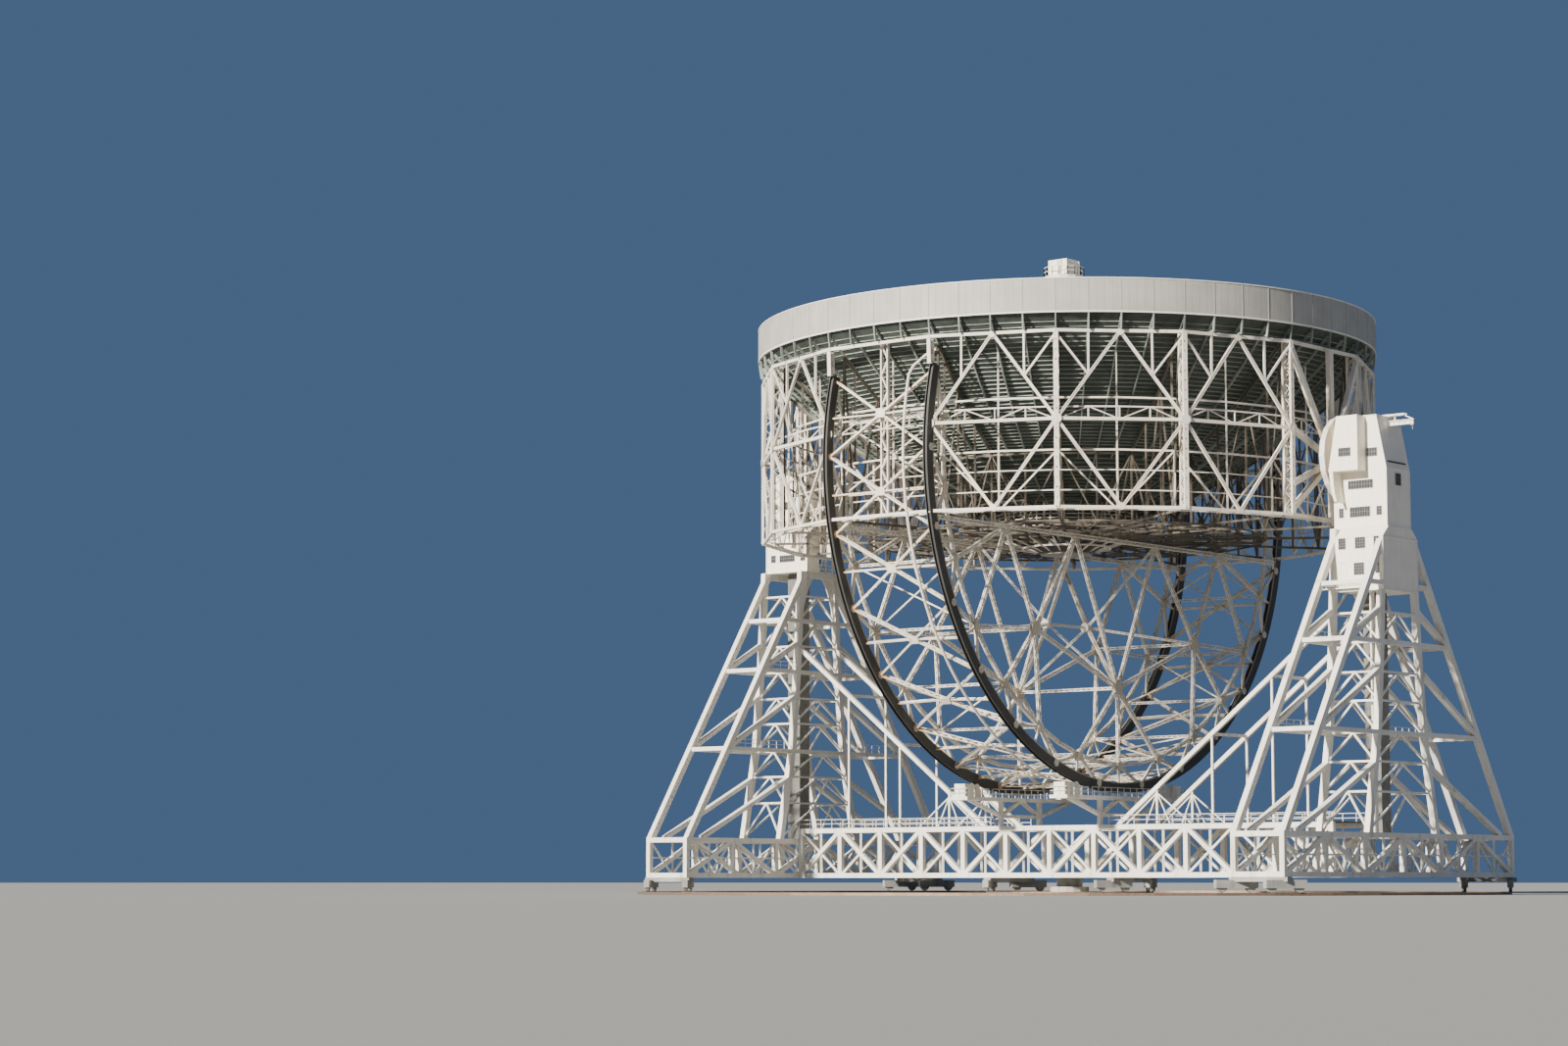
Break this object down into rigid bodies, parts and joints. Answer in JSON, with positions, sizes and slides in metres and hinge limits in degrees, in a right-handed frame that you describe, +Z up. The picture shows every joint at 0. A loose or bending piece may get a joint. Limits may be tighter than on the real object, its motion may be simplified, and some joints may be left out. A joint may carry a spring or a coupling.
{
  "type": "radio telescope dish, 1:10 scale model",
  "caption": "Fully steerable radio telescope: a bowl with a rim wall and focus mast in a lattice cage, tilting between two braced towers that turn on circular rails.",
  "frame": {"origin": "ground level under the centre pivot, on the azimuth axis", "axes": "+Z up along the azimuth axis, X along the tilt axis from the left tower to the right tower, -Y towards the pictured front"},
  "size_m": [10.5748, 10.5748, 7.8503],
  "materials": {
    "steel": "weathered cream paint",
    "cladding": "satin cream paint",
    "rim": "matt grey-beige paint",
    "reflector": "matt white paint",
    "membrane": "matt grey-green paint",
    "dark_steel": "worn grey paint",
    "rail": "worn and rusty",
    "concrete": "rough"
  },
  "bodies": {
    "foundation": {"track_outer_rail": "rail", "track_inner_rail": "rail", "track_centre_rail": "rail", "pivot_base": "concrete"},
    "turning_frame": {"azimuth_pivot": "dark_steel", "bridge_girder_front": "steel", "bridge_girder_back": "steel", "tower_skirt_right": "cladding", "roof_hoist": "steel", "tower_base_right": "steel", "tower_housing_right": "cladding", "drive_block_right": "cladding", "trunnion_bearing_right": "dark_steel", "lift_shaft_right": "dark_steel", "stays_right": "steel", "wheel_support_right": "steel", "centre_bogie_right": "dark_steel", "bogie_right_front": "dark_steel", "bogie_right_back": "dark_steel", "tower_frame_right_inner": "steel", "tower_frame_right_outer": "steel", "tower_base_left": "steel", "tower_housing_left": "cladding", "drive_block_left": "cladding", "trunnion_bearing_left": "dark_steel", "lift_shaft_left": "dark_steel", "stays_left": "steel", "wheel_support_left": "steel", "centre_bogie_left": "dark_steel", "bogie_left_front": "dark_steel", "bogie_left_back": "dark_steel", "tower_frame_left_inner": "steel", "tower_frame_left_outer": "steel"},
    "bowl": {"bowl_underside": "membrane", "reflector_surface": "reflector", "rim_band": "rim", "focus_mast": "steel", "focus_platform": "steel", "focus_box": "cladding", "cage_front_bay": "steel", "cage_back_bay": "steel", "bowl_hub": "dark_steel", "wheel_bracing_front": "steel", "wheel_bracing_bottom": "steel", "wheel_bracing_back": "steel", "bowl_trusses_right": "steel", "wheel_girder_right": "steel", "trunnion_frame_right": "steel", "elevation_drum_right": "steel", "cage_right_front": "steel", "cage_right_back": "steel", "bowl_trusses_left": "steel", "wheel_girder_left": "steel", "trunnion_frame_left": "steel", "elevation_drum_left": "steel", "cage_left_front": "steel", "cage_left_back": "steel"}
  },
  "joints": [
    {"name": "azimuth_turn", "type": "hinge", "parent": "foundation", "child": "turning_frame", "pos_m": [0, 0, 0], "axis": [0, 0, 1], "range_deg": [-180, 180]},
    {"name": "elevation_tilt", "type": "hinge", "parent": "turning_frame", "child": "bowl", "pos_m": [0, 0, 5.03], "axis": [1, 0, 0], "range_deg": [-88, 88]}
  ]
}
